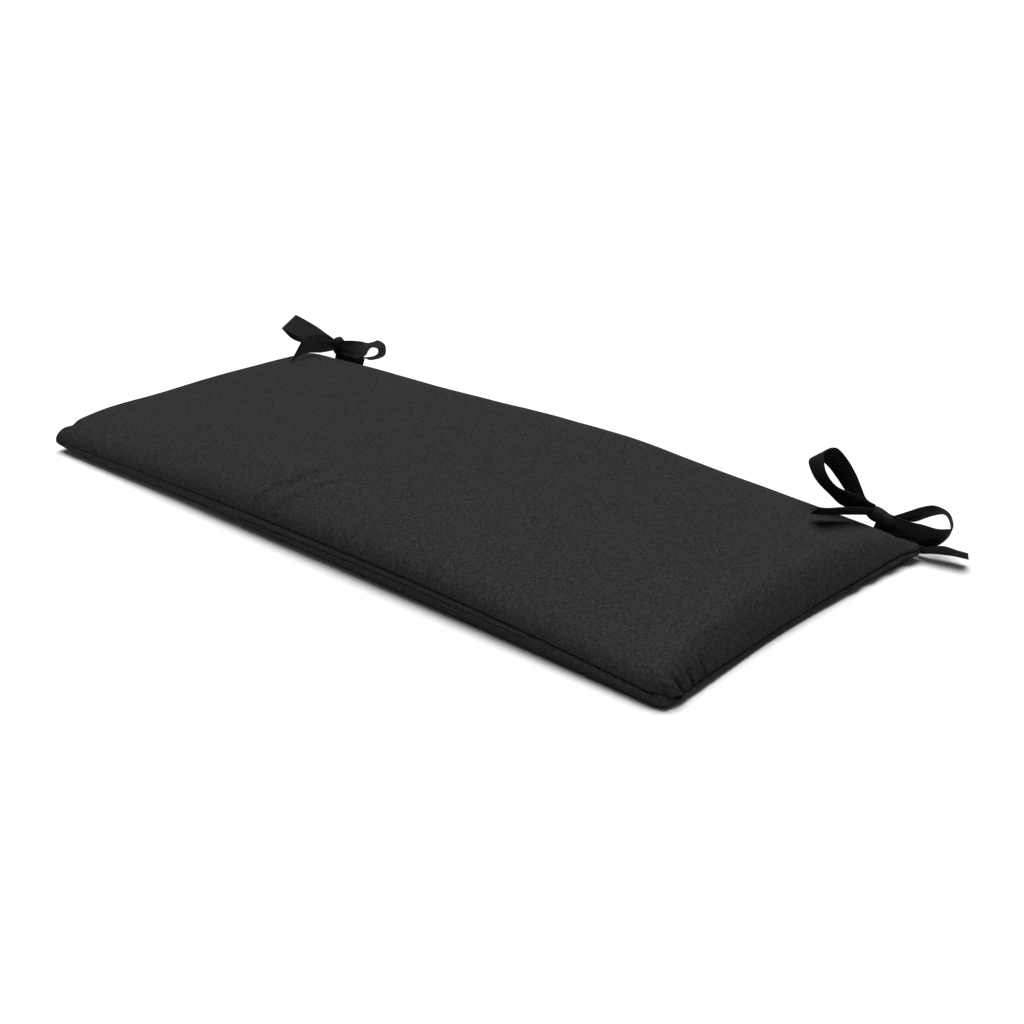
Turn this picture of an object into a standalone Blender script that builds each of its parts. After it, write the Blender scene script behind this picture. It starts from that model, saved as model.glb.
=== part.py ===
"""Bench cushion with two ribbon ties, as closed solids.

A knife-edge cushion: a top and a bottom panel meet in one seam that runs round the edge, over one soft
fill. A ribbon is sewn into the back seam near each back corner and tied in a bow.
Units are metres and +Z is up. The cushion lies on its bottom panel: X runs along its length, Y from the
front edge to the back edge, and the origin is under its middle, on the floor.
"""

import math

import bmesh
import bpy
from mathutils import Vector

# The cushion's driving dimensions
LENGTH = 1.100          # seam tip to seam tip
DEPTH = 0.500
CROWN = 0.072           # thickest place, in the middle
CROWN_LOSS_ENDS = 0.195     # share of the crown lost at the two ends
CROWN_LOSS_CORNERS = 0.270  # further share lost in the corners
TOP_ROLL_ENDS = 0.033   # reach of the rolled edge above the seam
TOP_ROLL_SIDES = 0.092
CORNER_TIGHTENING = 0.68    # share by which the rolls are shorter in the corners
BOTTOM_ROLL = 0.0145    # reach of the rolled edge below the seam
BOTTOM_ROLL_SKEW = 0.78     # the roll below the seam is wider at the left end
DRAW_IN_ENDS = 0.0115   # the filling draws the middle of each end in
DRAW_IN_SIDES = 0.0020
SEAM_AT_CORNERS = 0.0155    # height of the seam above the floor
SEAM_AT_SIDES = 0.0295
SEAM_AT_ENDS = 0.0105
SEAM_SKEW = 0.32        # the side seams stand higher towards the right end
CELLS_ALONG = 64
CELLS_ACROSS = 36
ROLL_CELLS = 5          # cells of the bottom panel between the seam and the flat

# The ribbons
RIBBON_THICKNESS = 0.0012
STEPS_PER_SPAN = 5      # rings of a strip between two of its stations
SEAT_GAP = 0.0004       # between a ribbon's sewn end and the seam that holds it
# The sewn end under each knot, in millimetres: (height above the seam, distance behind it, width)
STEM = [(-4, 0, 28), (4, 0, 26), (16, 1, 20)]
STEM_END_BELOW_KNOT = 4
STEM_WIDTH_AT_KNOT = 14
KNOT_SEGMENTS = 16
KNOT_RINGS = 10
KNOT_RIGHT = Vector((0.502, 0.252, 0.050))
KNOT_LEFT = Vector((-0.501, 0.252, 0.053))
# Each knot's body: its size, its turn in degrees about x, y and z, and the place of its middle from the knot
KNOT_BODY_RIGHT = {"size": (0.044, 0.018, 0.018), "turn": (0, 28, 30), "middle": (-0.002, -0.005, -0.005)}
KNOT_BODY_LEFT = {"size": (0.026, 0.020, 0.031), "turn": (0, 0, 0), "middle": (0.0, 0.0, 0.0)}

FABRIC_GREY = (0.034, 0.034, 0.034, 1.0)
RIBBON_BLACK = (0.011, 0.011, 0.011, 1.0)

# Stations of each ribbon in millimetres from its knot. The columns are the place of the ribbon's middle
# (x, y, z), the direction across the ribbon, and its width there. A ribbon is narrower where the knot
# gathers it, and the last width of a tail is the length of its slanting cut.
BOW_RIGHT = {
    "loop_high": [
        ((-9, -9, 6), (0.45, -0.30, 0.80), 13),
        ((-29, -33, 18), (0.50, -0.10, 0.86), 24),
        ((-45, -46, 30), (0.75, -0.30, 0.57), 30),
        ((-58, -53, 44), (0.84, -0.22, 0.50), 32),
        ((-68, -52, 59), (0.86, -0.16, 0.48), 32),
        ((-74, -45, 68), (0.80, 0.04, 0.60), 32),
        ((-71, -32, 69), (0.81, 0.16, 0.56), 32),
        ((-61, -20, 56), (0.82, 0.02, 0.57), 32),
        ((-49, -15, 38), (0.87, 0.00, 0.49), 29),
        ((-38, -12, 22), (0.87, 0.00, 0.49), 23),
        ((-28, -9, 11), (0.82, -0.05, 0.55), 15),
        ((-13, -6, 3), (0.80, -0.10, 0.58), 12),
    ],
    "loop_low": [
        ((6, 0, -9), (0.25, 0.15, 0.95), 16),
        ((30, 3, -18), (0.12, 0.00, 0.99), 28),
        ((48, 8, -20), (0.08, -0.02, 1.00), 30),
        ((62, 11, -20), (0.33, -0.19, 0.92), 32),
        ((74, 18, -20), (0.42, -0.41, 0.81), 32),
        ((81, 25, -15), (0.46, -0.53, 0.71), 32),
        ((78, 31, -8), (0.46, -0.62, 0.64), 32),
        ((71, 36, 0), (0.51, -0.66, 0.55), 32),
        ((63, 39, 4), (0.56, -0.67, 0.50), 32),
        ((53, 38, 5), (0.52, -0.62, 0.58), 32),
        ((43, 34, 3), (0.46, -0.52, 0.72), 32),
        ((33, 27, 0), (0.40, -0.46, 0.79), 28),
        ((22, 18, -4), (0.34, -0.46, 0.82), 21),
        ((9, 5, -8), (0.35, -0.60, 0.70), 13),
    ],
    "tail_over": [
        ((-8, -8, 0), (0.40, -0.45, 0.80), 13),
        ((-13, -39, 10), (0.42, -0.50, 0.75), 20),
        ((-22, -70, 17), (0.50, -0.55, 0.66), 27),
        ((-29, -91, 21), (0.58, -0.52, 0.60), 31),
        ((-36, -106, 25), (0.68, -0.40, 0.58), 33),
    ],
    "tail_behind": [
        ((8, 0, -14), (0.50, -0.10, 0.80), 14),
        ((28, 8, -34), (0.50, -0.30, 0.78), 22),
        ((50, 6, -38), (0.54, -0.56, 0.62), 30),
        ((73, 9, -32), (0.53, -0.53, 0.66), 32),
        ((89, 13, -31), (0.56, -0.56, 0.61), 32),
        ((111, 18, -33), (0.44, -0.66, 0.61), 34),
    ],
}
BOW_LEFT = {
    "loop_high": [
        ((-8, -5, 4), (0.10, 0.30, 0.90), 19),
        ((-30, -11, 11), (0.35, 0.60, 0.60), 29),
        ((-59, -15, 16), (0.45, 0.70, 0.50), 32),
        ((-91, -18, 23), (0.33, 0.68, 0.66), 32),
        ((-107, -15, 24), (0.33, 0.68, 0.66), 32),
        ((-108, -7, 14), (0.33, 0.68, 0.60), 32),
        ((-90, -3, 3), (0.40, 0.68, 0.55), 32),
        ((-52, 1, -1), (0.40, 0.65, 0.60), 28),
        ((-10, 2, -2), (0.10, 0.30, 0.90), 15),
    ],
    "loop_low": [
        ((8, -4, 1), (0.00, 0.10, 1.00), 20),
        ((26, 0, 1), (-0.20, 0.30, 0.93), 26),
        ((41, 7, 1), (-0.40, 0.55, 0.73), 29),
        ((53, 12, 3), (-0.58, 0.72, 0.38), 31),
        ((61, 14, 9), (-0.51, 0.84, 0.16), 32),
        ((70, 17, 14), (-0.44, 0.90, 0.04), 32),
        ((80, 18, 12), (-0.38, 0.92, -0.12), 32),
        ((85, 18, 5), (-0.36, 0.90, -0.26), 32),
        ((81, 16, -2), (-0.40, 0.85, -0.35), 32),
        ((70, 12, -8), (-0.42, 0.83, -0.38), 32),
        ((52, 9, -12), (-0.40, 0.80, -0.40), 28),
        ((30, 6, -10), (-0.30, 0.80, 0.20), 20),
        ((9, 3, -4), (0.00, 0.30, 0.90), 13),
    ],
    "tail_over": [
        ((-5, -8, 2), (-0.20, 0.25, 0.93), 20),
        ((-3, -36, 9), (-0.50, 0.45, 0.72), 27),
        ((2, -61, 15), (-0.62, 0.58, 0.50), 30),
        ((9, -81, 18), (-0.54, 0.72, 0.44), 32),
        ((14, -101, 18), (-0.31, 0.82, 0.49), 44),
    ],
    "tail_behind": [
        ((8, 4, -9), (0.00, 0.30, 0.90), 15),
        ((22, 12, -28), (0.10, 0.30, 0.90), 24),
        ((38, 18, -34), (0.10, 0.30, 0.90), 28),
    ],
}


def rise(distance, reach):
    """Height share of a rolled edge: a quarter round from 0 at the seam to 1 at its reach."""
    share = min(max(distance / reach, 0.0), 1.0)
    return math.sqrt(1.0 - (1.0 - share) ** 2)


def seam_height(u, v):
    """Height of the seam's level at u along the cushion and v across it, both from -1 to 1."""
    side = SEAM_AT_CORNERS + (SEAM_AT_SIDES - SEAM_AT_CORNERS) * (1.0 - u * u) * (1.0 + SEAM_SKEW * u)
    end = SEAM_AT_CORNERS + (SEAM_AT_ENDS - SEAM_AT_CORNERS) * (1.0 - v * v)
    to_end = LENGTH / 2 * (1.0 - abs(u))
    to_side = DEPTH / 2 * (1.0 - abs(v))
    if to_end + to_side < 1e-9:
        return SEAM_AT_CORNERS
    return (side * to_end + end * to_side) / (to_end + to_side)


def outline_point(u, v):
    """Plan position, with the ends and sides drawn in between the corners."""
    x = LENGTH / 2 * u - DRAW_IN_ENDS * (1.0 - v * v) * u * abs(u) ** 6
    y = DEPTH / 2 * v - DRAW_IN_SIDES * (1.0 - u * u) * v * abs(v) ** 3
    return x, y


def top_point(u, v):
    """A point of the top panel, which meets the bottom panel where |u| or |v| is 1."""
    x, y = outline_point(u, v)
    to_end = LENGTH / 2 * (1.0 - abs(u))
    to_side = DEPTH / 2 * (1.0 - abs(v))
    seam = seam_height(u, v)
    crown = CROWN * (1.0 - CROWN_LOSS_ENDS * u * u) * (1.0 - CROWN_LOSS_CORNERS * u * u * v * v)
    tight = 1.0 - CORNER_TIGHTENING * (u * v) ** 4
    rolled = rise(to_end, TOP_ROLL_ENDS * tight) * rise(to_side, TOP_ROLL_SIDES * tight)
    return Vector((x, y, seam + (crown - seam) * rolled))


def under_row(index, count, half, roll_low, roll_high):
    """Place of a row of the bottom panel from -half to half, and its share of the drop from seam to floor.

    The rows follow the rolled edge, so that the flat begins on a row at both sides.
    """
    to_low = min(index / ROLL_CELLS, 1.0)
    to_high = min((count - index) / ROLL_CELLS, 1.0)
    low = -half + roll_low * (1.0 - math.cos(math.pi / 2 * to_low))
    high = half - roll_high * (1.0 - math.cos(math.pi / 2 * to_high))
    between = min(max((index - ROLL_CELLS) / (count - 2 * ROLL_CELLS), 0.0), 1.0)
    return low + (high - low) * between, math.sin(math.pi / 2 * min(to_low, to_high))


def bottom_point(i, j):
    """A point of the bottom panel, which is flat on the floor inside its rolled edge."""
    roll_left = BOTTOM_ROLL * (1.0 + BOTTOM_ROLL_SKEW)
    roll_right = BOTTOM_ROLL * (1.0 - BOTTOM_ROLL_SKEW)
    x, drop_ends = under_row(i, CELLS_ALONG, LENGTH / 2, roll_left, roll_right)
    u = x / (LENGTH / 2)
    roll = BOTTOM_ROLL * (1.0 - BOTTOM_ROLL_SKEW * u)
    y, drop_sides = under_row(j, CELLS_ACROSS, DEPTH / 2, roll, roll)
    v = y / (DEPTH / 2)
    x, y = outline_point(u, v)
    return Vector((x, y, seam_height(u, v) * (1.0 - drop_ends * drop_sides)))


def closer_to_rim(index, count):
    """Parameter from -1 to 1 whose cells are small at the rim, where the panels roll."""
    return math.sin(math.pi * (index / count - 0.5))


def fabric(name, colour, roughness):
    material = bpy.data.materials.new(name)
    material.use_nodes = True
    shader = material.node_tree.nodes["Principled BSDF"]
    shader.inputs["Base Color"].default_value = colour
    shader.inputs["Roughness"].default_value = roughness
    shader.inputs["Metallic"].default_value = 0.0
    return material


def add_object(name, mesh_source, material):
    """Turn a bmesh into a smooth-shaded object in the scene."""
    bmesh.ops.recalc_face_normals(mesh_source, faces=mesh_source.faces)
    mesh = bpy.data.meshes.new(name)
    mesh_source.to_mesh(mesh)
    mesh_source.free()
    mesh.shade_smooth()
    mesh.materials.append(material)
    item = bpy.data.objects.new(name, mesh)
    bpy.context.scene.collection.objects.link(item)
    return item


def build_cushion(material):
    """One filled solid: the two panels share the vertices of the seam."""
    solid = bmesh.new()
    top = {}
    bottom = {}
    for i in range(CELLS_ALONG + 1):
        for j in range(CELLS_ACROSS + 1):
            u = closer_to_rim(i, CELLS_ALONG)
            v = closer_to_rim(j, CELLS_ACROSS)
            top[i, j] = solid.verts.new(top_point(u, v))
            on_seam = i in (0, CELLS_ALONG) or j in (0, CELLS_ACROSS)
            bottom[i, j] = top[i, j] if on_seam else solid.verts.new(bottom_point(i, j))
    for i in range(CELLS_ALONG):
        for j in range(CELLS_ACROSS):
            ring = [(i, j), (i + 1, j), (i + 1, j + 1), (i, j + 1)]
            solid.faces.new([top[place] for place in ring])
            solid.faces.new([bottom[place] for place in reversed(ring)])
    return add_object("cushion", solid, material)


def spline_point(before, start, end, after, t):
    """Catmull-Rom point between start and end."""
    return 0.5 * ((2 * start) + (end - before) * t + (2 * before - 5 * start + 4 * end - after) * t ** 2
                  + (3 * start - before - 3 * end + after) * t ** 3)


def smooth_run(values):
    """A smooth run of vectors through the given ones."""
    ends = [2 * values[0] - values[1]] + values + [2 * values[-1] - values[-2]]
    run = []
    for k in range(1, len(ends) - 2):
        for step in range(STEPS_PER_SPAN):
            run.append(spline_point(ends[k - 1], ends[k], ends[k + 1], ends[k + 2], step / STEPS_PER_SPAN))
    run.append(values[-1])
    return run


def ribbon_strip(name, stations, knot, material):
    """A strip of ribbon through its stations, as a hidden operand for the tie's union."""
    centres = smooth_run([knot + Vector(place) / 1000 for place, across, width in stations])
    spans = smooth_run([Vector(across).normalized() * width / 1000 for place, across, width in stations])
    strip = bmesh.new()
    rings = []
    for k, (centre, span) in enumerate(zip(centres, spans)):
        along = centres[min(k + 1, len(centres) - 1)] - centres[max(k - 1, 0)]
        face_normal = along.cross(span).normalized() * RIBBON_THICKNESS / 2
        corners = [centre - span / 2 - face_normal, centre + span / 2 - face_normal,
                   centre + span / 2 + face_normal, centre - span / 2 + face_normal]
        rings.append([strip.verts.new(corner) for corner in corners])
    for ring, following in zip(rings, rings[1:]):
        for side in range(4):
            other = (side + 1) % 4
            strip.faces.new([ring[side], ring[other], following[other], following[side]])
    strip.faces.new(rings[0])
    strip.faces.new(list(reversed(rings[-1])))
    operand = add_object(name, strip, material)
    operand.hide_render = True
    operand.display_type = "WIRE"
    return operand


def stem_stations(knot):
    """The sewn end: the ribbon leaves the back seam and stands up behind it to the knot."""
    u = knot.x / (LENGTH / 2)
    seam_y = outline_point(u, 1.0)[1]
    seam_z = seam_height(u, 1.0)
    back = (seam_y + SEAT_GAP + RIBBON_THICKNESS / 2 - knot.y) * 1000
    low = (seam_z - knot.z) * 1000
    across = (1.0, 0.0, 0.0)
    stations = [((0, back + lean, low + height), across, width) for height, lean, width in STEM]
    stations.append(((0, 0, -STEM_END_BELOW_KNOT), across, STEM_WIDTH_AT_KNOT))
    return stations


def build_tie(name, knot, bow, body, material):
    """One ribbon as one solid: the knot, united with its stem, two loops and two tails."""
    core = bmesh.new()
    bmesh.ops.create_uvsphere(core, u_segments=KNOT_SEGMENTS, v_segments=KNOT_RINGS, radius=1.0)
    bmesh.ops.scale(core, vec=Vector(body["size"]) / 2, verts=core.verts)
    tie = add_object(name, core, material)
    tie.location = knot + Vector(body["middle"])
    tie.rotation_euler = [math.radians(turn) for turn in body["turn"]]
    pieces = dict(bow)
    pieces["stem"] = stem_stations(knot)
    for part, stations in pieces.items():
        union = tie.modifiers.new(part, "BOOLEAN")
        union.operation = "UNION"
        union.solver = "EXACT"
        union.object = ribbon_strip(name + "_" + part, stations, knot, material)
    return tie


for leftover in list(bpy.data.objects):
    bpy.data.objects.remove(leftover)

panel_cloth = fabric("panel_cloth", FABRIC_GREY, 0.95)
ribbon_cloth = fabric("ribbon_cloth", RIBBON_BLACK, 0.70)

build_cushion(panel_cloth)
build_tie("tie_left", KNOT_LEFT, BOW_LEFT, KNOT_BODY_LEFT, ribbon_cloth)
build_tie("tie_right", KNOT_RIGHT, BOW_RIGHT, KNOT_BODY_RIGHT, ribbon_cloth)
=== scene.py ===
"""Looks of the bench cushion: a charcoal knife-edge cushion with a black ribbon bow near each back corner.

Metres, +Z up, in the frame of the CAD. The cushion lies on its bottom panel on a pale floor.
"""

import math

import bpy
import numpy as np
from mathutils import Matrix, Vector, noise


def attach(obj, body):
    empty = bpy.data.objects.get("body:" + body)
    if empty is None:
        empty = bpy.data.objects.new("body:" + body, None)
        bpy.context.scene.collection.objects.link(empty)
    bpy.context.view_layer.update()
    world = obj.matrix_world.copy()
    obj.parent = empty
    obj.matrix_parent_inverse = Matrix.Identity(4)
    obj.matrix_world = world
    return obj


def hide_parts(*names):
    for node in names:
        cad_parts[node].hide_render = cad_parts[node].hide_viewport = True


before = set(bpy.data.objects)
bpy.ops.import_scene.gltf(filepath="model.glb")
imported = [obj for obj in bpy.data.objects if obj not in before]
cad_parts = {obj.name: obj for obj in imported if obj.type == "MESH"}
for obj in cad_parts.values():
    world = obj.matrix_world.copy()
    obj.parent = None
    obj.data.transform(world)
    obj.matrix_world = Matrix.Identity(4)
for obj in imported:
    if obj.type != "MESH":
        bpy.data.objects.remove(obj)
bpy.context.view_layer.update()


# --- The view, the light and the floor --------------------------------------------------------------
# The camera stands in front of the cushion's right end, level, 2 m away and 23 degrees above the floor.
# One wide soft light hangs overhead, as over a studio table, and the room fills the shadows.
CAMERA_TARGET = Vector((0.0854, 0.0281, 0.0))
CAMERA_ROUND = math.radians(42.52)
CAMERA_UP = math.radians(23.18)
CAMERA_AWAY = 2.0807
LENS_MM = 55.76
OVERHEAD_LIGHT = 4.65
OVERHEAD_SPREAD = math.radians(60.0)
OVERHEAD_TILT = (math.radians(-4.0), math.radians(-7.0), 0.0)
ROOM_LIGHT = 0.16
FLOOR_GREY = 0.76
FLOOR_SIZE = 16.0
FLOOR_UNDER = 0.0004

bpy.ops.object.select_all(action="DESELECT")
to_camera = Vector((math.sin(CAMERA_ROUND) * math.cos(CAMERA_UP),
                    -math.cos(CAMERA_ROUND) * math.cos(CAMERA_UP), math.sin(CAMERA_UP)))
bpy.ops.object.camera_add(location=CAMERA_TARGET + to_camera * CAMERA_AWAY,
                          rotation=to_camera.to_track_quat("Z", "Y").to_euler())
camera = bpy.context.object
camera.data.sensor_width = 36.0
camera.data.lens = LENS_MM
bpy.context.scene.camera = camera
bpy.context.scene.view_settings.view_transform = "Standard"

bpy.ops.object.light_add(type="SUN", location=(0.0, 0.0, 2.0), rotation=OVERHEAD_TILT)
overhead = bpy.context.object
overhead.data.energy = OVERHEAD_LIGHT
overhead.data.angle = OVERHEAD_SPREAD

room = bpy.data.worlds.new("room")
room.use_nodes = True
room.node_tree.nodes["Background"].inputs["Color"].default_value = (1.0, 1.0, 1.0, 1.0)
room.node_tree.nodes["Background"].inputs["Strength"].default_value = ROOM_LIGHT
bpy.context.scene.world = room

# the floor lies a hair under the cushion, so that the two faces don't fall together
bpy.ops.mesh.primitive_plane_add(size=FLOOR_SIZE, location=(0.0, 0.0, -FLOOR_UNDER))
floor = bpy.context.object
floor.name = "floor"
paint = bpy.data.materials.new("floor_paint")
paint.use_nodes = True
paint_shader = paint.node_tree.nodes["Principled BSDF"]
paint_shader.inputs["Base Color"].default_value = (FLOOR_GREY, FLOOR_GREY, FLOOR_GREY, 1.0)
paint_shader.inputs["Roughness"].default_value = 0.9
paint_shader.inputs["Specular IOR Level"].default_value = 0.1
floor.data.materials.append(paint)


# --- The cushion: two panels over one soft fill -----------------------------------------------------
# A top and a bottom panel of woven charcoal cloth, sewn together along one seam round the edge and turned
# out. The filling crowns the top, pulls the ends in and leaves small ears at the corners. The bottom lies
# flat, and the lip of a closure in it shows as a fine line under the front seam: a groove with painted shade.
LENGTH = 1.100
DEPTH = 0.500
CROWN = 0.072
CROWN_LOSS_ENDS = 0.195
CROWN_LOSS_CORNERS = 0.270
TOP_ROLL_ENDS = 0.033
TOP_ROLL_SIDES = 0.092
CORNER_TIGHTENING = 0.68
BOTTOM_ROLL = 0.0145
BOTTOM_ROLL_SKEW = 0.78
DRAW_IN_ENDS = 0.0115
DRAW_IN_SIDES = 0.0020
SEAM_AT_CORNERS = 0.0155
SEAM_AT_SIDES = 0.0295
SEAM_AT_ENDS = 0.0105
SEAM_SKEW = 0.32

# Rows of cloth near the seam: in millimetres from it on the top panel, and in degrees round the rolled
# edge of the bottom panel. They are close together where the roll is steep.
TOP_RIM_ROWS = np.array([0, 0.01, 0.03, 0.07, 0.14, 0.24, 0.38, 0.56, 0.8, 1.1, 1.5, 2, 2.6, 3.3, 4.2, 5.3,
                         6.7, 8.4, 10.4, 12.5, 14.7, 16.9, 19.1, 21.3, 23.5, 25.7, 27.9, 30.1]) / 1000
BOTTOM_RIM_ROWS = np.radians([0, 1, 2, 3.2, 4.6, 6.2, 8, 10, 12, 14, 15.5, 17, 18.5, 20, 22, 25, 28, 32, 36,
                              41, 46, 51.5, 57, 63, 69.5, 76, 83, 90])
RIM_ROWS = len(TOP_RIM_ROWS) - 1


def rise(distance, reach):
    """Height share of a rolled edge: a quarter round from 0 at the seam to 1 at its reach."""
    share = np.clip(distance / reach, 0.0, 1.0)
    return np.sqrt(1.0 - (1.0 - share) ** 2)


def seam_height(u, v):
    """Height of the seam over the floor, from the long sides and the ends by how near each is."""
    side = SEAM_AT_CORNERS + (SEAM_AT_SIDES - SEAM_AT_CORNERS) * (1.0 - u * u) * (1.0 + SEAM_SKEW * u)
    end = SEAM_AT_CORNERS + (SEAM_AT_ENDS - SEAM_AT_CORNERS) * (1.0 - v * v)
    to_end = LENGTH / 2 * (1.0 - np.abs(u)) + 1e-9
    to_side = DEPTH / 2 * (1.0 - np.abs(v)) + 1e-9
    return (side * to_end + end * to_side) / (to_end + to_side)


def drawn_in(x, y):
    """Plan position of a point, with the ends and sides pulled in between the corners."""
    u, v = x / (LENGTH / 2), y / (DEPTH / 2)
    return (x - DRAW_IN_ENDS * (1.0 - v * v) * u * np.abs(u) ** 6,
            y - DRAW_IN_SIDES * (1.0 - u * u) * v * np.abs(v) ** 3)


def even_rows(low, high, step_low, step_middle, step_high, reach, fine=(0.0, 0.001, 1.0)):
    """Places from low to high whose steps grow from those at the ends to the one in the middle.
    Within the fine part (its middle, half its width, its step) they are no longer than its step."""
    at = np.linspace(low, high, 4001)
    step = (step_middle - (step_middle - step_low) * np.clip(1.0 - (at - low) / reach, 0.0, 1.0)
            - (step_middle - step_high) * np.clip(1.0 - (high - at) / reach, 0.0, 1.0))
    step = np.minimum(step, fine[2] + step_middle * np.maximum(np.abs(at - fine[0]) / fine[1] - 1.0, 0.0))
    count = np.concatenate([[0.0], np.cumsum(np.diff(at) / step[1:])])
    return np.interp(np.linspace(0.0, count[-1], int(math.ceil(count[-1])) + 1), count, at)


# Shares from -1 to 1 of the even rows, finest towards the right end and the front, where folds show
EVEN_LENGTH = 0.519
EVEN_DEPTH = 0.219
ALONG = even_rows(-EVEN_LENGTH, EVEN_LENGTH, 0.0036, 0.0056, 0.0023, 0.13,
                  fine=(-0.066, 0.050, 0.0022)) / EVEN_LENGTH
ACROSS = even_rows(-EVEN_DEPTH, EVEN_DEPTH, 0.0023, 0.0056, 0.0036, 0.11) / EVEN_DEPTH


def all_rows(half, near_low, near_high, shares):
    """Places from -half to half: the rows near each rim with the even ones between them."""
    low = -half + near_low
    high = half - near_high[::-1]
    middle = low[-1] + (high[0] - low[-1]) * (shares[1:-1] + 1.0) / 2.0
    return np.concatenate([low, middle, high])


def top_form():
    """Points of the top panel as a grid of x, y and z."""
    x, y = np.meshgrid(all_rows(LENGTH / 2, TOP_RIM_ROWS, TOP_RIM_ROWS, ALONG),
                       all_rows(DEPTH / 2, TOP_RIM_ROWS, TOP_RIM_ROWS, ACROSS), indexing="ij")
    u, v = x / (LENGTH / 2), y / (DEPTH / 2)
    seam = seam_height(u, v)
    crown = CROWN * (1.0 - CROWN_LOSS_ENDS * u * u) * (1.0 - CROWN_LOSS_CORNERS * u * u * v * v)
    tight = 1.0 - CORNER_TIGHTENING * (u * v) ** 4
    rolled = (rise(LENGTH / 2 - np.abs(x), TOP_ROLL_ENDS * tight)
              * rise(DEPTH / 2 - np.abs(y), TOP_ROLL_SIDES * tight))
    z = seam + (crown - seam) * rolled
    x, y = drawn_in(x, y)
    return np.stack([x, y, z], axis=-1)


def bottom_form():
    """Points of the bottom panel. Its rows follow the rolled edge, which is wider at the left end."""
    rim = 1.0 - np.cos(BOTTOM_RIM_ROWS)
    top_x = all_rows(LENGTH / 2, TOP_RIM_ROWS, TOP_RIM_ROWS, ALONG)
    top_y = all_rows(DEPTH / 2, TOP_RIM_ROWS, TOP_RIM_ROWS, ACROSS)
    row_x = np.minimum(np.arange(len(top_x)), np.arange(len(top_x))[::-1])
    row_y = np.minimum(np.arange(len(top_y)), np.arange(len(top_y))[::-1])
    turned_x = np.sin(np.interp(row_x, np.arange(RIM_ROWS + 1), BOTTOM_RIM_ROWS))[:, None]
    turned_y = np.sin(np.interp(row_y, np.arange(RIM_ROWS + 1), BOTTOM_RIM_ROWS))[None, :]
    roll_left = BOTTOM_ROLL * (1.0 + BOTTOM_ROLL_SKEW)
    roll_right = BOTTOM_ROLL * (1.0 - BOTTOM_ROLL_SKEW)
    under_x = all_rows(LENGTH / 2, rim * roll_left, rim * roll_right, ALONG)
    x = top_x[:, None] * (1.0 - turned_y) + under_x[:, None] * turned_y
    roll = BOTTOM_ROLL * (1.0 - BOTTOM_ROLL_SKEW * x / (LENGTH / 2))
    # across, the rim rows go by the local roll and the even rows by what is left between them
    rim_y = np.interp(row_y, np.arange(RIM_ROWS + 1), rim)
    y_rim = np.where(top_y < 0.0, -1.0, 1.0) * (DEPTH / 2 - rim_y * roll)
    shares = np.concatenate([-np.ones(RIM_ROWS), ACROSS, np.ones(RIM_ROWS)])
    under_y = np.where(row_y[None, :] <= RIM_ROWS, y_rim, (DEPTH / 2 - roll) * shares[None, :])
    y = top_y[None, :] * (1.0 - turned_x) + under_y * turned_x
    u, v = x / (LENGTH / 2), y / (DEPTH / 2)
    roll_end = np.where(x < 0.0, roll_left, roll_right)
    sunk = rise(LENGTH / 2 - np.abs(x), roll_end) * rise(DEPTH / 2 - np.abs(y), roll)
    z = seam_height(u, v) * (1.0 - sunk)
    x, y = drawn_in(x, y)
    return np.stack([x, y, np.maximum(z, 0.0)], axis=-1)


def grid_normals(points, outward):
    """Unit normals of a grid of points. Outward is 1 or -1, for the side they point to."""
    normal = np.cross(np.gradient(points, axis=0), np.gradient(points, axis=1)) * outward
    return normal / np.maximum(np.linalg.norm(normal, axis=-1, keepdims=True), 1e-12)


def cloth_lengths(points, axis):
    """Length of cloth along a grid's lines, counted from their first points."""
    steps = np.cumsum(np.linalg.norm(np.diff(points, axis=axis), axis=-1), axis=axis)
    return np.concatenate([np.zeros_like(np.take(steps, [0], axis=axis)), steps], axis=axis)


def from_seam(points):
    """Length of cloth from each point to the left, right, front and back seam."""
    along, across = cloth_lengths(points, 0), cloth_lengths(points, 1)
    return {"left": along, "right": along[-1:, :] - along, "front": across, "back": across[:, -1:] - across}


def cloth_place(points):
    """Place of each point on its cut panel, with the panel's middle at 0, 0."""
    along, across = cloth_lengths(points, 0), cloth_lengths(points, 1)
    middle_x, middle_y = points.shape[0] // 2, points.shape[1] // 2
    return np.stack([along - along[middle_x:middle_x + 1, :],
                     across - across[:, middle_y:middle_y + 1]], axis=-1)


def bump(distance, width):
    """1 at distance 0, fading smoothly to about a third at the width and to nothing beyond."""
    return np.exp(-(distance / width) ** 2)


def ease(share):
    """From 0 to 1 with a soft start and a soft end."""
    share = np.clip(share, 0.0, 1.0)
    return share * share * (3.0 - 2.0 * share)


def beside_seam(distance, crest):
    """Share of the bulge beside a seam: 0 at the seam and 1 at the crest's distance from it."""
    return distance / crest * np.exp(1.0 - distance / crest)


def ripple(x, y, size_x, size_y, seed):
    """Smooth uneven values from -1 to 1 over a grid of places."""
    flat = [noise.noise(Vector((a / size_x, b / size_y, seed))) for a, b in zip(x.ravel(), y.ravel())]
    return np.array(flat).reshape(x.shape)


def fold(x, y, start, end, width):
    """A soft fold from start to end in plan: 1 on its line, fading to its sides and tips."""
    (ax, ay), (bx, by) = start, end
    share = ((x - ax) * (bx - ax) + (y - ay) * (by - ay)) / ((bx - ax) ** 2 + (by - ay) ** 2)
    inside = np.clip(share, 0.0, 1.0)
    off = np.hypot(x - (ax + inside * (bx - ax)), y - (ay + inside * (by - ay)))
    return bump(off, width) * (1.0 - 0.8 * (2.0 * inside - 1.0) ** 4)


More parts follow.
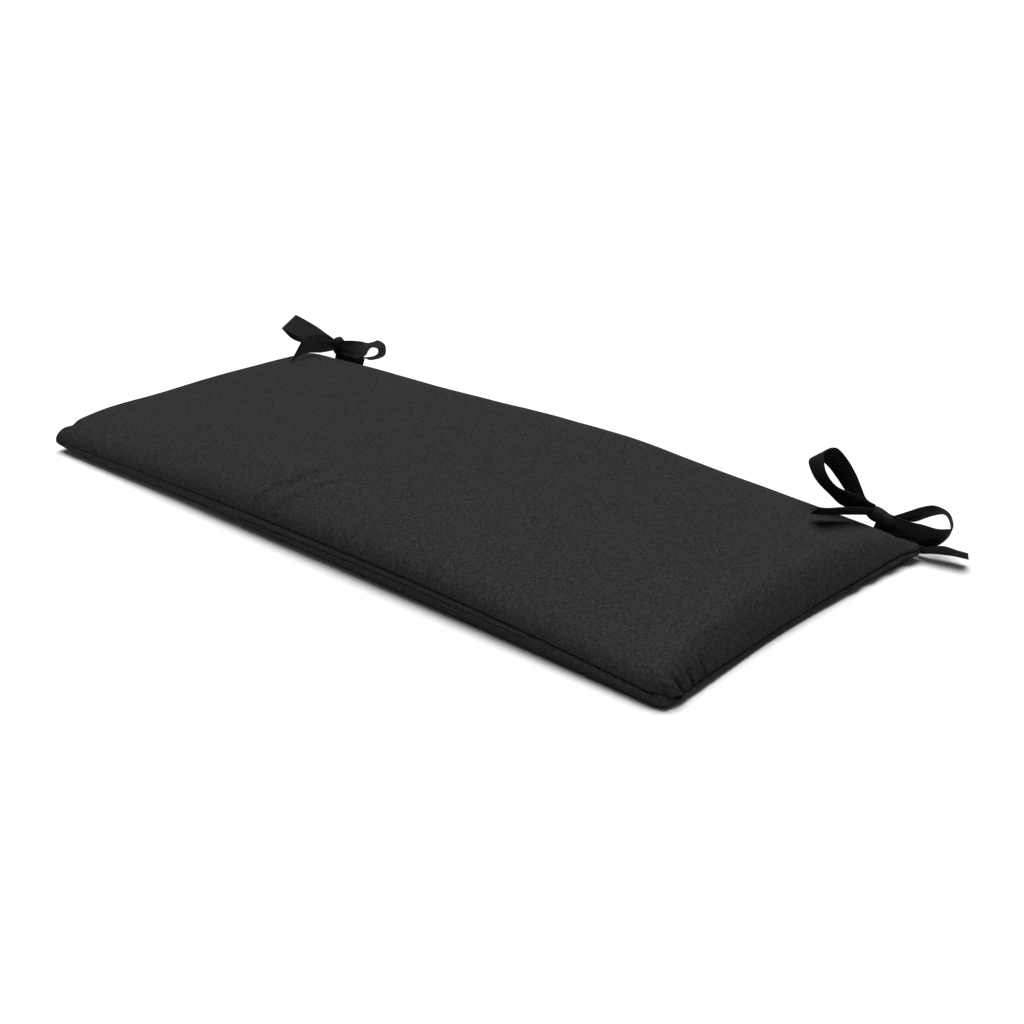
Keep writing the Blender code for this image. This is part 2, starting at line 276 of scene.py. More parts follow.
# The right seam lies lower towards the front corner and a little higher at the back: (y, millimetres)
RIGHT_SEAM_DROP = np.array([(-0.250, 5.4), (-0.205, 5.4), (-0.160, 4.4), (-0.110, 3.3), (-0.055, 1.7),
                            (0.0, 0.6), (0.05, 0.0), (0.14, 0.0), (0.20, -1.5), (0.25, -1.5)])
# How far in from that seam the panels follow it, how short its step at the front corner is, and the most
# that a point is lowered, as a share of its height
RIGHT_SEAM_REACH = 0.016
CORNER_STEP = 0.0035
LOWERED_AT_MOST = 0.45


def lowered(points, off):
    """The panel with its right seam at its height, which leaves a short upright step at the front corner."""
    drop = np.interp(points[..., 1], RIGHT_SEAM_DROP[:, 0], RIGHT_SEAM_DROP[:, 1]) / 1000
    near = bump(off["right"], RIGHT_SEAM_REACH) * (1.0 - bump(off["front"], CORNER_STEP))
    points = points.copy()
    points[..., 2] -= np.minimum(drop, LOWERED_AT_MOST * points[..., 2]) * near
    return points


# The bottom panel's corners: side along x, side along y, radius in plan. The rounding has come in fully at
# this share of the seam's height below it.
ROUNDED_CORNERS = ((1, -1, 0.020), (1, 1, 0.012), (-1, -1, 0.010), (-1, 1, 0.010))
ROUNDED_BY = 0.55
# Three of the corners end in a thin ear: side along x, side along y, reach. The bottom panel rises by this
# share of its gap to the seam there.
EARS = ((-1, -1, 0.040), (-1, 1, 0.040), (1, 1, 0.028))
EAR_RISE = 0.7


def corners_rounded(points, seam_points):
    """The bottom panel's corners rounded in plan below the seam, where the filling doesn't reach."""
    points = points.copy()
    x, y, z = points[..., 0], points[..., 1], points[..., 2]
    for side_x, side_y, radius in ROUNDED_CORNERS:
        in_x = radius - (LENGTH / 2 - side_x * x)
        in_y = radius - (DEPTH / 2 - side_y * y)
        inside = (in_x > 0.0) & (in_y > 0.0)
        reach = np.maximum(in_x, in_y)
        share = np.where(inside, reach / np.maximum(np.hypot(in_x, in_y), 1e-9), 1.0)
        below = ease((seam_points - z) / (ROUNDED_BY * seam_points))
        moved = 1.0 - (1.0 - share) * below
        x = np.where(inside, side_x * (LENGTH / 2 - radius + in_x * moved), x)
        y = np.where(inside, side_y * (DEPTH / 2 - radius + in_y * moved), y)
    for side_x, side_y, reach in EARS:
        away = np.hypot(LENGTH / 2 - side_x * x, DEPTH / 2 - side_y * y)
        z = z + EAR_RISE * (seam_points - z) * (1.0 - ease(away / reach))
    return np.stack([x, y, z], axis=-1)


# The right end's corners, by side along y: the back one is drawn out to a point, and the tip of the front
# one, where its two seams meet, is tucked in and up. Each has its reach and its shift.
RIGHT_CORNERS = {1: (0.030, (0.0065, -0.0010, -0.0010)), -1: (0.028, (-0.0035, 0.0035, 0.0022))}


def corner_shifted(points, side_y, share=1.0):
    """The right end's corner on one side shifted by a share, which fades to nothing at its reach."""
    reach, shift = RIGHT_CORNERS[side_y]
    near = 1.0 - ease(np.hypot(points[..., 0] - LENGTH / 2, points[..., 1] - side_y * DEPTH / 2) / reach)
    return points + (near * share)[..., None] * np.array(shift)


# Folds of the top panel in plan: start, end, width, height
TOP_FOLDS = [
    ((-0.104, -0.240), (-0.081, -0.196), 0.0050, 0.0040),      # two soft creases over the front roll
    ((-0.082, -0.200), (-0.072, -0.146), 0.0054, 0.0042),
    ((-0.067, -0.244), (-0.043, -0.206), 0.0050, 0.0040),
    ((-0.045, -0.210), (-0.028, -0.160), 0.0054, 0.0042),
    ((-0.078, -0.226), (-0.054, -0.165), 0.0080, -0.0022),
    ((-0.512, -0.247), (-0.547, -0.222), 0.0065, -0.0034),     # furrow behind the front left ear
    ((-0.512, 0.247), (-0.547, 0.222), 0.0090, -0.0012),
    ((0.520, 0.246), (0.546, 0.226), 0.0060, -0.0016),
]
# Puckers across the right seam: y at the seam, y at the upper tip, length of cloth, depth, width.
# The first is the raised crumple of the near corner.
RIGHT_PUCKERS = [
    (-0.2205, -0.2460, 0.019, -0.0038, 0.0026),
    (-0.2160, -0.2315, 0.018, 0.0042, 0.0024),
    (-0.1970, -0.2090, 0.021, 0.0048, 0.0022),
    (-0.1870, -0.1930, 0.013, 0.0018, 0.0022),
    (-0.1740, -0.1810, 0.021, 0.0040, 0.0022),
    (-0.1590, -0.1640, 0.013, 0.0013, 0.0024),
    (-0.1400, -0.1450, 0.015, 0.0015, 0.0028),
    (-0.1130, -0.1170, 0.011, 0.0008, 0.0028),
    (-0.0820, -0.0860, 0.013, 0.0008, 0.0030),
    (-0.0430, -0.0460, 0.011, 0.0006, 0.0030),
    (0.1930, 0.1900, 0.012, 0.0010, 0.0030),
]

# Height the filling adds to the top panel or takes from it, in millimetres: along the back edge by x, and
# along the left end by y. It starts at the seam, has gone at its reach from it and fades before that.
FILL_STARTS_OVER = 0.02
BACK_FILL_REACH, BACK_FILL_FADE = 0.17, 0.13
LEFT_FILL_REACH, LEFT_FILL_FADE = 0.14, 0.10
BACK_FILL = np.array([(-0.55, 0.0), (-0.38, -0.6), (-0.29, -3.5), (-0.22, -4.3), (-0.15, -3.0), (-0.05, -0.3),
                      (0.05, 1.8), (0.12, 3.8), (0.16, 3.2), (0.21, 0.2), (0.29, -1.8), (0.37, -3.0),
                      (0.44, -3.4), (0.50, -4.6), (0.53, -6.5), (0.57, -7.0)])
LEFT_FILL = np.array([(-0.25, 0.0), (-0.19, 1.9), (-0.155, 2.0), (-0.12, -0.8), (-0.08, -2.4), (-0.03, -1.4),
                      (0.05, -2.3), (0.10, -2.0), (0.20, -1.5), (0.25, 0.0)])

# The filling is not quite even: height, size, seed, and how near the seams the unevenness fades out
UNEVEN_FILL = [(0.0011, 0.160, 3.1, 0.03), (0.0004, 0.045, 7.7, 0.02)]

# Ripples that stand square to a seam: seam, height, size along x, size along y, seed, and the band of cloth
# that they fill, by its middle's distance from the seam and its width
TOP_RIPPLES = [
    ("front", 0.00035, 0.016, 0.120, 1.3, 0.010, 0.010),
    ("right", 0.00060, 0.120, 0.013, 5.9, 0.008, 0.009),
    ("left", 0.00060, 0.120, 0.018, 9.2, 0.008, 0.012),
    ("back", 0.00040, 0.018, 0.120, 4.4, 0.008, 0.012),
]
BOTTOM_RIPPLES = [
    ("right", 0.00100, 0.200, 0.015, 2.6, 0.007, 0.007),
    ("front", 0.00050, 0.020, 0.200, 6.3, 0.009, 0.008),
]

# The top panel bulges beside its seams, and each seam lies in a narrow valley. The front's bulge grows in
# two steps, each given by the x at which it starts and by its height. The crests say how far from each
# seam the cloth is fullest.
FRONT_BULGE = 0.0034
FRONT_BULGE_STEPS = [(-0.38, 0.0024), (-0.10, 0.0014)]
FRONT_BULGE_STEP_LENGTH = 0.15
BULGE = {"right": 0.0028, "left": 0.0008, "back": 0.0012}
BULGE_CREST = {"front": 0.0195, "right": 0.0090, "left": 0.0090, "back": 0.0090}
SEAM_VALLEY_DEPTH = 0.0003
SEAM_VALLEY_WIDTH = 0.0013

# The two seams pull a dent into the top panel at the near corner. Its middle and its tip are places in
# plan, and painted shade darkens the cloth round the tip.
DENT = (0.5440, -0.2450)
DENT_DEPTH = 0.0026
DENT_WIDTH = 0.0065
DENT_TIP = (0.5465, -0.2465)
DENT_TIP_WIDTH = 0.0050


def from_table(table, at):
    """Metres from a table in millimetres, smoothed over 4 cm."""
    shifts = (-0.02, -0.01, 0, 0.01, 0.02)
    return sum(np.interp(at + shift, table[:, 0], table[:, 1]) for shift in shifts) / (1000 * len(shifts))


top = top_form()
top_off = from_seam(top)
top = lowered(top, top_off)
top[..., 2] += (from_table(BACK_FILL, top[..., 0]) * ease(top_off["back"] / FILL_STARTS_OVER)
                * ease((BACK_FILL_REACH - top_off["back"]) / BACK_FILL_FADE)
                * ease(top_off["right"] / RIGHT_SEAM_REACH))
top[..., 2] += (from_table(LEFT_FILL, top[..., 1]) * ease(top_off["left"] / FILL_STARTS_OVER)
                * ease((LEFT_FILL_REACH - top_off["left"]) / LEFT_FILL_FADE))
top = corner_shifted(corner_shifted(top, 1), -1)
top_out = grid_normals(top, 1.0)
top_nearest = np.minimum.reduce(list(top_off.values()))
x, y = top[..., 0], top[..., 1]
# the nearest seam has the most say in how far the cloth bulges
weight = {side: 1.0 / (top_off[side] + 0.002) ** 2 for side in top_off}
all_weights = sum(weight.values())
front_bulge = FRONT_BULGE + sum(height * ease((x - start) / FRONT_BULGE_STEP_LENGTH)
                                for start, height in FRONT_BULGE_STEPS)
fullness = (front_bulge * weight["front"] + sum(BULGE[side] * weight[side] for side in BULGE)) / all_weights
crest = sum(BULGE_CREST[side] * weight[side] for side in BULGE_CREST) / all_weights
at_near_corner = bump(np.hypot(LENGTH / 2 - x, DEPTH / 2 + y), 0.007)
lift = beside_seam(top_nearest, crest) * fullness * (1.0 - 0.9 * at_near_corner)
lift -= SEAM_VALLEY_DEPTH * bump(top_nearest, SEAM_VALLEY_WIDTH)
for height, size, seed, fading in UNEVEN_FILL:
    lift += height * ripple(x, y, size, size, seed) * (1.0 - bump(top_nearest, fading))
for side, height, size_x, size_y, seed, middle, width in TOP_RIPPLES:
    lift += height * ripple(x, y, size_x, size_y, seed) * bump(top_off[side] - middle, width)
for start, end, width, height in TOP_FOLDS:
    lift += height * fold(x, y, start, end, width) * ease(top_nearest / 0.0015)
lift -= DENT_DEPTH * bump(np.hypot(x - DENT[0], y - DENT[1]), DENT_WIDTH)
# painted shade darkens the colour at the dent's tip and in the deepest puckers, where little light gets in
painted_crease_shade = bump(np.hypot(x - DENT_TIP[0], y - DENT_TIP[1]), DENT_TIP_WIDTH)
for y_seam, y_tip, length, depth, width in RIGHT_PUCKERS:
    share = top_off["right"] / length
    line = y_seam + (y_tip - y_seam) * share
    within = ease(share * 6.0) * ease(1.6 - 1.2 * share)
    lift -= depth * bump(y - line, width) * within
    painted_crease_shade = np.maximum(painted_crease_shade, ease((depth - 0.003) / 0.001) * bump(y - line, 0.8 * width) * within)
top = top + top_out * lift[..., None]

# Closure lip in the bottom panel, below the front seam: (x, millimetres of cloth below the seam)
CLOSURE_LINE = np.array([(-0.55, 9.0), (-0.129, 9.2), (-0.080, 9.6), (-0.012, 9.0), (0.079, 7.9),
                         (0.165, 6.8), (0.246, 7.0), (0.323, 7.5), (0.396, 6.2), (0.55, 6.0)])
CLOSURE_FROM, CLOSURE_TO = -0.150, 0.385
CLOSURE_FADE = 0.03
LIP_GROOVE_DEPTH = 0.0013
LIP_GROOVE_WIDTH = 0.0009
LIP_HEIGHT = 0.0007

# The bottom panel's roll is tucked in under the left of the front and along the middle of the right end:
# how far, the middle of that stretch by its x or its y, and its half length
FRONT_TUCK = (0.0045, -0.21, 0.07)
RIGHT_TUCK = (0.0055, 0.01, 0.10)
# Its bulge is fullest a little below the seam, and grows by the step from x = -0.30 to x = -0.20
BOTTOM_BULGE = 0.0030
BOTTOM_BULGE_STEP = 0.0018
BOTTOM_CREST = 0.0040
# The strip under the front seam leans out in the middle, between two places along x
LEAN_OUT = 0.0030
LEAN_FROM, LEAN_TO = -0.25, 0.30
# The strip under the right seam hangs in soft scallops near its back end, between two places along y
SCALLOPS_FROM, SCALLOPS_TO = 0.085, 0.235
SCALLOP_DEPTH = 0.0016
SCALLOP_LENGTH = 0.041
SCALLOP_CREST = 0.1635

bottom = bottom_form()
bottom_off = from_seam(bottom)
seam_over = seam_height(np.clip(bottom[..., 0] / (LENGTH / 2), -1.0, 1.0),
                        np.clip(bottom[..., 1] / (DEPTH / 2), -1.0, 1.0))
bottom = lowered(corners_rounded(bottom, seam_over), bottom_off)
# how far each point has come down from the seam to the flat underside
fallen = 1.0 - bottom[..., 2] / seam_over
tuck, middle, half = FRONT_TUCK
bottom[..., 1] += tuck * fallen * bump(bottom[..., 0] - middle, half) * bump(bottom_off["front"], 0.04)
tuck, middle, half = RIGHT_TUCK
bottom[..., 0] -= (tuck * fallen * bump(np.maximum(bottom_off["right"] - 0.012, 0.0), 0.03)
                   * bump(bottom[..., 1] - middle, half))
bottom_nearest = np.minimum.reduce(list(bottom_off.values()))
bottom = corner_shifted(corner_shifted(bottom, 1), -1, bump(bottom_nearest, 0.009))
bottom_out = grid_normals(bottom, -1.0)
x, y = bottom[..., 0], bottom[..., 1]
fullness = BOTTOM_BULGE + BOTTOM_BULGE_STEP * ease((x + 0.30) / 0.10)
lift = beside_seam(bottom_nearest, BOTTOM_CREST) * fullness
lift -= SEAM_VALLEY_DEPTH * bump(bottom_nearest, SEAM_VALLEY_WIDTH)
lift += (LEAN_OUT * ease(fallen / 0.7) * bump(np.maximum(bottom_off["front"] - 0.016, 0.0), 0.008)
         * ease((x - LEAN_FROM) / 0.10) * ease((LEAN_TO - x) / 0.12))
below_lip = bottom_off["front"] - np.interp(x, CLOSURE_LINE[:, 0], CLOSURE_LINE[:, 1]) / 1000
in_closure = ease((x - CLOSURE_FROM) / CLOSURE_FADE) * ease((CLOSURE_TO - x) / CLOSURE_FADE)
# the closure's mask cuts the groove, and also sets the painted shade along it
closure = bump(below_lip, LIP_GROOVE_WIDTH) * in_closure
lift -= LIP_GROOVE_DEPTH * closure
lift += LIP_HEIGHT * in_closure * bump(below_lip - 0.003, 0.0022)
scalloped = (ease((y - SCALLOPS_FROM) / 0.03) * ease((SCALLOPS_TO - y) / 0.02)
             * bump(bottom_off["right"] - 0.008, 0.006))
lift += SCALLOP_DEPTH * np.cos(2.0 * math.pi * (y - SCALLOP_CREST) / SCALLOP_LENGTH) * scalloped
for side, height, size_x, size_y, seed, middle, width in BOTTOM_RIPPLES:
    lift += height * ripple(x, y, size_x, size_y, seed) * bump(bottom_off[side] - middle, width)
lift = lift * ease(bottom[..., 2] / 0.002)
bottom = bottom + bottom_out * lift[..., None]
bottom[..., 2] = np.maximum(bottom[..., 2], 0.0)
# one seam: both panels end on the top panel's rim
bottom[0], bottom[-1], bottom[:, 0], bottom[:, -1] = top[0], top[-1], top[:, 0], top[:, -1]


def vertex_places(mesh):
    """The mesh's vertices as rows of x, y and z."""
    places = np.empty(len(mesh.vertices) * 3)
    mesh.vertices.foreach_get("co", places)
    return places.reshape(-1, 3)


def corner_vertices(mesh):
    """Which vertex stands at each corner of each face."""
    corners = np.empty(len(mesh.loops), dtype=int)
    mesh.loops.foreach_get("vertex_index", corners)
    return corners


def cloth_grid(name, points, flat_places):
    """A piece of cloth from a grid primitive: its vertices moved to their points, and a UV map of their
    places on the flat cloth. Returns the piece and each vertex's row and column in the grid."""
    count_x, count_y = points.shape[:2]
    bpy.ops.object.select_all(action="DESELECT")
    bpy.ops.mesh.primitive_grid_add(x_subdivisions=count_x - 1, y_subdivisions=count_y - 1, size=2.0,
                                    calc_uvs=False)
    piece = bpy.context.object
    piece.name = name
    mesh = piece.data
    start = vertex_places(mesh)
    i = np.rint((start[:, 0] + 1.0) / 2.0 * (count_x - 1)).astype(int)
    j = np.rint((start[:, 1] + 1.0) / 2.0 * (count_y - 1)).astype(int)
    mesh.vertices.foreach_set("co", points[i, j].ravel())
    flat = flat_places[i, j][corner_vertices(mesh)]
    mesh.uv_layers.new(name="cloth").data.foreach_set("uv", flat.ravel())
    return piece, i, j


def panel(name, points, seam_distance, mask_of_painted_shade, turned_over):
    """A panel with two attributes: the distance from the seam, and how much painted shade each point gets."""
    piece, i, j = cloth_grid(name, points, cloth_place(points))
    mesh = piece.data
    for label, values in (("from_seam", seam_distance), ("painted_shade", mask_of_painted_shade)):
        mesh.attributes.new(label, "FLOAT", "POINT").data.foreach_set("value", values[i, j])
    # each corner cell gets a point of its own, or the two panels would share a triangle there
    tips = np.flatnonzero(((i == 0) | (i == i.max())) & ((j == 0) | (j == j.max())))
    mesh.polygons.foreach_set("select", np.isin(corner_vertices(mesh).reshape(-1, 4), tips).any(axis=1))
    bpy.ops.object.mode_set(mode="EDIT")
    bpy.ops.mesh.poke()
    bpy.ops.object.mode_set(mode="OBJECT")
    if turned_over:
        mesh.flip_normals()
    return piece


# faces are picked while the corner cells are made, and vertices for the merge
bpy.context.tool_settings.mesh_select_mode = (False, False, True)
top_panel = panel("top_panel", top, top_nearest, painted_crease_shade, False)
# the bottom panel's painted shade is the closure's mask, darker along the groove under the lip
bottom_panel = panel("bottom_panel", bottom, bottom_nearest, closure, True)
bpy.ops.object.select_all(action="DESELECT")
bottom_panel.select_set(True)
top_panel.select_set(True)
bpy.context.view_layer.objects.active = top_panel
bpy.ops.object.join()
cushion = bpy.context.object
cushion.name = "cushion_case"
bpy.context.tool_settings.mesh_select_mode = (True, False, False)
bpy.ops.object.mode_set(mode="EDIT")
bpy.ops.mesh.select_all(action="SELECT")
bpy.ops.mesh.remove_doubles(threshold=0.000002)
bpy.ops.object.mode_set(mode="OBJECT")
bpy.ops.object.shade_smooth()


# A plain weave, as a group for both cloths: each crossing shows the yarn that lies on top there, and each
# yarn has its own light and dark stretches. It puts out a shade about 1 and a height.
def woven_group():
    """The weave's node group. Its place on the cloth, yarn spacing and stretch length are in metres."""
    group = bpy.data.node_groups.new("plain_weave", "ShaderNodeTree")
    group.interface.new_socket(name="Cloth Place", in_out="INPUT", socket_type="NodeSocketVector")
    for label, value in (("Yarn Spacing", 0.0015), ("Stretch Length", 0.008), ("Yarn Contrast", 1.0),
                         ("Crossing Contrast", 0.5), ("Groove Contrast", 0.2), ("Cloud Contrast", 0.1),
                         ("Fleck Contrast", 0.5)):
        socket = group.interface.new_socket(name=label, in_out="INPUT", socket_type="NodeSocketFloat")
        socket.default_value = value
    for label in ("Shade", "Height"):
        group.interface.new_socket(name=label, in_out="OUTPUT", socket_type="NodeSocketFloat")
    nodes, links = group.nodes, group.links
    given = nodes.new("NodeGroupInput").outputs
    out = nodes.new("NodeGroupOutput")

    def arithmetic(operation, *values):
        """The output of a node that works out the operation on numbers and sockets."""
        node = nodes.new("ShaderNodeMath")
        node.operation = operation
        for slot, value in enumerate(values):
            if isinstance(value, (int, float)):
                node.inputs[slot].default_value = value
            else:
                links.new(value, node.inputs[slot])
        return node.outputs[0]

    def cloud(place, per_x, per_y, seed, detail):
        """Noise about 0 whose size is given by how many of its units make a metre each way."""
        apart = nodes.new("ShaderNodeSeparateXYZ")
        links.new(place, apart.inputs[0])
        spread = nodes.new("ShaderNodeCombineXYZ")
        links.new(arithmetic("MULTIPLY", apart.outputs["X"], per_x), spread.inputs["X"])
        links.new(arithmetic("MULTIPLY", apart.outputs["Y"], per_y), spread.inputs["Y"])
        spread.inputs["Z"].default_value = seed
        texture = nodes.new("ShaderNodeTexNoise")
        texture.inputs["Scale"].default_value = 1.0
        texture.inputs["Detail"].default_value = detail
        links.new(spread.outputs[0], texture.inputs["Vector"])
        return arithmetic("SUBTRACT", texture.outputs["Fac"], 0.5)

    # the yarns wander a little
    place = given["Cloth Place"]
    wander = arithmetic("MULTIPLY", cloud(place, 60.0, 60.0, 2.2, 1.0), 0.0008)
    moved = nodes.new("ShaderNodeVectorMath")
    moved.operation = "ADD"
    links.new(place, moved.inputs[0])
    both_ways = nodes.new("ShaderNodeCombineXYZ")
    links.new(wander, both_ways.inputs["X"])
    links.new(wander, both_ways.inputs["Y"])
    links.new(both_ways.outputs[0], moved.inputs[1])
    apart = nodes.new("ShaderNodeSeparateXYZ")
    links.new(moved.outputs[0], apart.inputs[0])
    turns = arithmetic("DIVIDE", math.pi, given["Yarn Spacing"])
    wave_x = arithmetic("SINE", arithmetic("MULTIPLY", apart.outputs["X"], turns))
    wave_y = arithmetic("SINE", arithmetic("MULTIPLY", apart.outputs["Y"], turns))
    crossing = arithmetic("MULTIPLY", wave_x, wave_y)
    warp_on_top = nodes.new("ShaderNodeMapRange")
    warp_on_top.interpolation_type = "SMOOTHSTEP"
    warp_on_top.inputs["From Min"].default_value = -0.25
    warp_on_top.inputs["From Max"].default_value = 0.25
    links.new(crossing, warp_on_top.inputs["Value"])
    across_yarn = arithmetic("DIVIDE", 0.9, given["Yarn Spacing"])
    along_yarn = arithmetic("DIVIDE", 1.0, given["Stretch Length"])
    warp_tone = cloud(place, across_yarn, along_yarn, 1.7, 1.0)
    weft_tone = cloud(place, along_yarn, across_yarn, 5.2, 1.0)
    on_top = nodes.new("ShaderNodeMix")
    links.new(warp_on_top.outputs["Result"], on_top.inputs["Factor"])
    links.new(weft_tone, on_top.inputs["A"])
    links.new(warp_tone, on_top.inputs["B"])
    yarn_tone = on_top.outputs["Result"]
    # grooves between the yarns, and short light flecks
    groove = arithmetic("SUBTRACT", arithmetic("ABSOLUTE", crossing), 0.4)
    fleck = nodes.new("ShaderNodeMapRange")
    fleck.inputs["From Min"].default_value = 0.20
    fleck.inputs["From Max"].default_value = 0.30
    links.new(cloud(place, arithmetic("DIVIDE", 0.55, given["Yarn Spacing"]),
                    arithmetic("DIVIDE", 0.22, given["Yarn Spacing"]), 8.8, 2.0), fleck.inputs["Value"])
    shade = arithmetic("MULTIPLY_ADD", yarn_tone, given["Yarn Contrast"], 1.0)
    shade = arithmetic("MULTIPLY_ADD", crossing, given["Crossing Contrast"], shade)
    shade = arithmetic("MULTIPLY_ADD", groove, given["Groove Contrast"], shade)
    shade = arithmetic("MULTIPLY_ADD", cloud(place, 26.0, 38.0, 4.4, 2.0), given["Cloud Contrast"], shade)
    shade = arithmetic("MULTIPLY_ADD", fleck.outputs["Result"], given["Fleck Contrast"], shade)
    links.new(shade, out.inputs["Shade"])
    links.new(arithmetic("ADD", arithmetic("ABSOLUTE", crossing), yarn_tone), out.inputs["Height"])
    return group


plain_weave = woven_group()
GRAIN_STRENGTH = 0.5


def factor(tree, first, second):
    """The product of two shades."""
    node = tree.nodes.new("ShaderNodeMath")
    node.operation = "MULTIPLY"
    tree.links.new(first, node.inputs[0])
    tree.links.new(second, node.inputs[1])
    return node.outputs[0]


def shade_between(tree, attribute, low, high, at_low, at_high):
    """A shade that goes from one value to another as the piece's attribute goes from low to high."""
    source = tree.nodes.new("ShaderNodeAttribute")
    source.attribute_name = attribute
    ramp = tree.nodes.new("ShaderNodeMapRange")
    ramp.interpolation_type = "SMOOTHSTEP"
    ramp.inputs["From Min"].default_value = low
    ramp.inputs["From Max"].default_value = high
    ramp.inputs["To Min"].default_value = at_low
    ramp.inputs["To Max"].default_value = at_high
    tree.links.new(source.outputs["Fac"], ramp.inputs["Value"])
    return ramp.outputs["Result"]


def woven_cloth(name, grey, roughness, specular, grain_height, weave_values, shades=()):
    """A cloth in the plain weave, with the values of its weave group and painted shades from attributes."""
    cloth = bpy.data.materials.new(name)
    cloth.use_nodes = True
    tree = cloth.node_tree
    shader = tree.nodes["Principled BSDF"]
    shader.inputs["Roughness"].default_value = roughness
    shader.inputs["Specular IOR Level"].default_value = specular
    place = tree.nodes.new("ShaderNodeUVMap")
    place.uv_map = "cloth"
    weave = tree.nodes.new("ShaderNodeGroup")
    weave.node_tree = plain_weave
    for label, value in weave_values.items():
        weave.inputs[label].default_value = value
    tree.links.new(place.outputs["UV"], weave.inputs["Cloth Place"])
    shade = weave.outputs["Shade"]
    for shade_values in shades:
        shade = factor(tree, shade, shade_between(tree, *shade_values))
    colour = tree.nodes.new("ShaderNodeVectorMath")
    colour.operation = "SCALE"
    colour.inputs[0].default_value = (grey, grey, grey)
    tree.links.new(shade, colour.inputs["Scale"])
    tree.links.new(colour.outputs[0], shader.inputs["Base Color"])
    grain = tree.nodes.new("ShaderNodeBump")
    grain.inputs["Strength"].default_value = GRAIN_STRENGTH
    grain.inputs["Distance"].default_value = grain_height
    tree.links.new(weave.outputs["Height"], grain.inputs["Height"])
    tree.links.new(grain.outputs["Normal"], shader.inputs["Normal"])
    return cloth


# Charcoal and matt. Painted shade makes it a little darker down in the seam's valley and much darker
# in a tight crease or under the closure lip
panel_cloth = woven_cloth(
    "charcoal_weave", grey=0.0205, roughness=0.95, specular=0.03, grain_height=0.0003,
    weave_values={"Yarn Spacing": 0.0015, "Stretch Length": 0.005, "Yarn Contrast": 2.6,
                  "Crossing Contrast": 0.40, "Groove Contrast": 0.4, "Cloud Contrast": 0.14,
                  "Fleck Contrast": 1.5},
    shades=[("from_seam", 0.0003, 0.0014, 0.9, 1.0), ("painted_shade", 0.0, 1.0, 1.0, 0.4)])
cushion.data.materials.append(panel_cloth)

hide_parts("cushion")
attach(cushion, "root")


# --- The ribbon ties --------------------------------------------------------------------------------
# Each tie is black ribbon, closely woven with a low sheen, 32 mm wide and cut at a slant. It leaves the
# back seam, stands up behind it and is tied in a bow: two loops, two tails and a knot that gathers them.
RIBBON_WIDTH = 0.032
RIBBON_THICKNESS = 0.0009
RINGS_PER_SPAN = 10
CELLS_ACROSS_RIBBON = 14
# Pleats across the ribbon where the knot gathers it, and their depth
PLEATS = 1.5
PLEAT_DEPTH = 0.0014
# Depth of the knot's folds as a share of its size, and the length and width of the cloth wrapped in it
KNOT_FOLD_DEPTH = 0.045
KNOT_CLOTH = (0.09, 0.03)
# Faces that meet at a wider angle than this keep a hard edge between them
CREASED_FROM = math.radians(50.0)
KNOT_RIGHT = Vector((0.502, 0.252, 0.050))
KNOT_LEFT = Vector((-0.501, 0.252, 0.053))

# Stations in millimetres from the knot: place of the ribbon's middle, direction across it, width there.
BOW_RIGHT = {
    "loop_high": [
        ((-9, -9, 6), (0.45, -0.30, 0.80), 13),
        ((-30, -33, 17), (0.57, 0.02, 0.82), 24),
        ((-48, -44, 29), (0.66, -0.46, 0.60), 30),
        ((-62, -48, 42), (0.72, -0.44, 0.54), 32),
        ((-73, -44, 54), (0.78, -0.34, 0.52), 32),
        ((-79, -36, 64), (0.77, -0.17, 0.61), 32),
        ((-75, -22, 65), (0.82, 0.06, 0.57), 32),
        ((-65, -11, 52), (0.82, -0.06, 0.57), 32),
        ((-51, -9, 36), (0.87, -0.05, 0.50), 29),
        ((-40, -8, 21), (0.88, 0.02, 0.47), 23),
        ((-28, -9, 11), (0.88, 0.00, 0.46), 15),
        ((-13, -6, 3), (0.80, -0.10, 0.58), 12),
    ],
    "loop_low": [
        ((6, 0, -9), (0.25, 0.15, 0.95), 16),
        ((30, 3, -18), (0.12, 0.00, 0.99), 28),
        ((48, 8, -20), (0.08, -0.02, 1.00), 30),
        ((62, 11, -20), (0.33, -0.19, 0.92), 32),
        ((72, 17, -18), (0.37, -0.33, 0.87), 32),
        ((78, 24, -13), (0.40, -0.60, 0.68), 32),
        ((77, 30, -9), (0.40, -0.69, 0.60), 32),
        ((71, 36, -1), (0.40, -0.73, 0.54), 32),
        ((63, 39, 4), (0.46, -0.74, 0.48), 32),
        ((53, 38, 4), (0.47, -0.62, 0.63), 32),
        ((43, 34, 2), (0.43, -0.46, 0.78), 32),
        ((33, 26, -2), (0.35, -0.33, 0.88), 28),
        ((23, 18, -5), (0.30, -0.42, 0.86), 21),
        ((9, 5, -8), (0.35, -0.60, 0.70), 13),
    ],
    "tail_over": [
        ((-8, -8, 0), (0.40, -0.45, 0.80), 13),
        ((-13, -39, 10), (0.42, -0.50, 0.75), 20),
        ((-22, -70, 17), (0.50, -0.55, 0.66), 27),
        ((-29, -91, 21), (0.58, -0.52, 0.60), 31),
        ((-35, -105, 25), (0.63, -0.51, 0.58), 33),
    ],
    "tail_behind": [
        ((8, 0, -14), (0.50, -0.10, 0.80), 14),
        ((28, 8, -34), (0.50, -0.30, 0.78), 22),
        ((50, 6, -38), (0.54, -0.56, 0.62), 30),
        ((73, 9, -32), (0.53, -0.53, 0.66), 32),
        ((92, 16, -33), (0.46, -0.66, 0.59), 32),
        ((109, 16, -32), (0.30, -0.75, 0.58), 34),
    ],
    "stem": [
        ((0, -1, -36), (1.00, 0.00, 0.00), 28),
        ((0, -1, -28), (1.00, 0.00, 0.00), 26),
        ((0, 0, -16), (1.00, 0.00, 0.00), 20),
        ((0, 0, -4), (1.00, 0.00, 0.00), 14),
    ],
}
